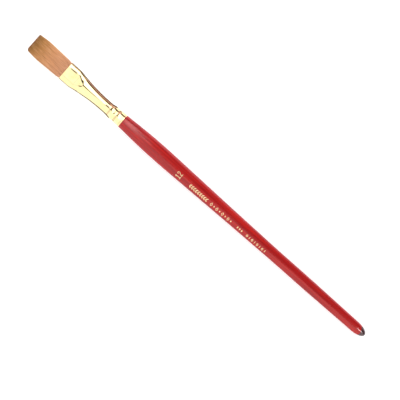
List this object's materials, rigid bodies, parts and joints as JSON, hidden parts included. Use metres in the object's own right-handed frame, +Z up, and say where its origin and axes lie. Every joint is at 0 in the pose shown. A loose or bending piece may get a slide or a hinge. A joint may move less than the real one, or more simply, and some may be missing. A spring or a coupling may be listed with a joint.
{
  "type": "paint brush",
  "caption": "Flat artists' paint brush: wide flat synthetic hair, gold crimped ferrule pressed flat at the mouth, and a long round red lacquered wooden handle with a dark dipped end.",
  "frame": {"origin": "on the surface that the brush lies on, under the middle of the brush's length and width; the handle's belly touches Z = 0", "axes": "+X along the brush from the hair to the butt of the handle, +Z up, out of the hair's wide upper face, which bears the same side as the foil marks"},
  "size_m": [0.257, 0.013, 0.0102],
  "materials": {
    "hair": "fine synthetic filaments, satin, darker at the tip",
    "thread": "waxed linen thread",
    "glue": "cured amber resin",
    "gold": "polished, gold plated",
    "wood": "turned beech",
    "red_lacquer": "translucent red gloss lacquer",
    "dark_dip": "dark gloss dip",
    "foil": "pressed gold foil"
  },
  "bodies": {
    "brush": {"hair_root": "hair", "root_thread": "thread", "root_glue": "glue", "ferrule": "gold", "tenon_glue": "glue", "handle_core": "wood", "lacquer_coat": "red_lacquer", "end_dip": "dark_dip", "foil_marks": "foil"},
    "hair": {"hair_tuft": "hair"}
  },
  "joints": [
    {"name": "tuft_flex", "type": "hinge", "parent": "brush", "child": "hair", "pos_m": [-0.10525, 0, 0.0051], "axis": [0, 1, 0], "range_deg": [-40, 40], "stiffness_Nm_per_rad": 0.01}
  ]
}
